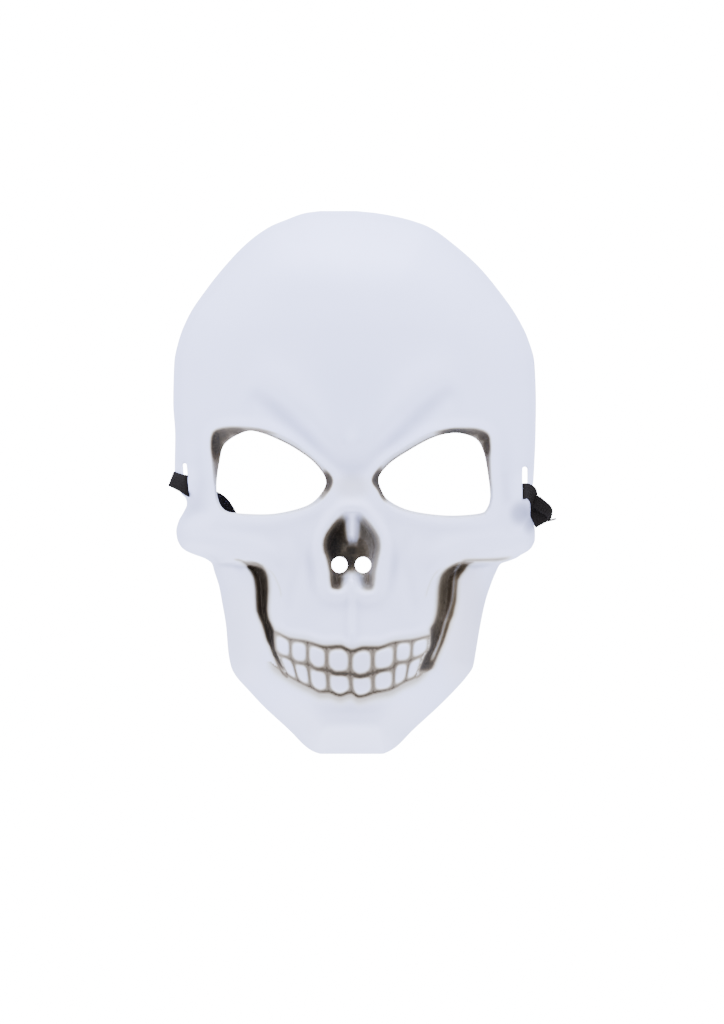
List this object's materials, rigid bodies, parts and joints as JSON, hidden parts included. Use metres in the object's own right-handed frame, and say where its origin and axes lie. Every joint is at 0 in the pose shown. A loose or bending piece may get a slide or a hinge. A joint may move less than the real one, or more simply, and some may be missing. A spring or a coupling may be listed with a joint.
{
  "type": "skull mask",
  "caption": "Moulded plastic skull face mask, open at the back, with eye and nostril holes and an elastic strap tied through slots at the temples.",
  "frame": {"origin": "middle of the mask's box, on the surface that its rim rests on", "axes": "+Z out of the face, +Y from chin to forehead, +X towards the right of the picture"},
  "size_m": [0.1772, 0.25, 0.0823],
  "materials": {
    "white_plastic": "satin moulded plastic with sprayed brown and black shading",
    "black_elastic": "woven ribbed elastic",
    "black_elastic_left": "woven ribbed elastic",
    "black_elastic_right": "woven ribbed elastic"
  },
  "bodies": {
    "root": {"mask_shell": "white_plastic", "elastic_band": "black_elastic", "left_tie": "black_elastic_left", "right_tie": "black_elastic_right"}
  },
  "joints": []
}
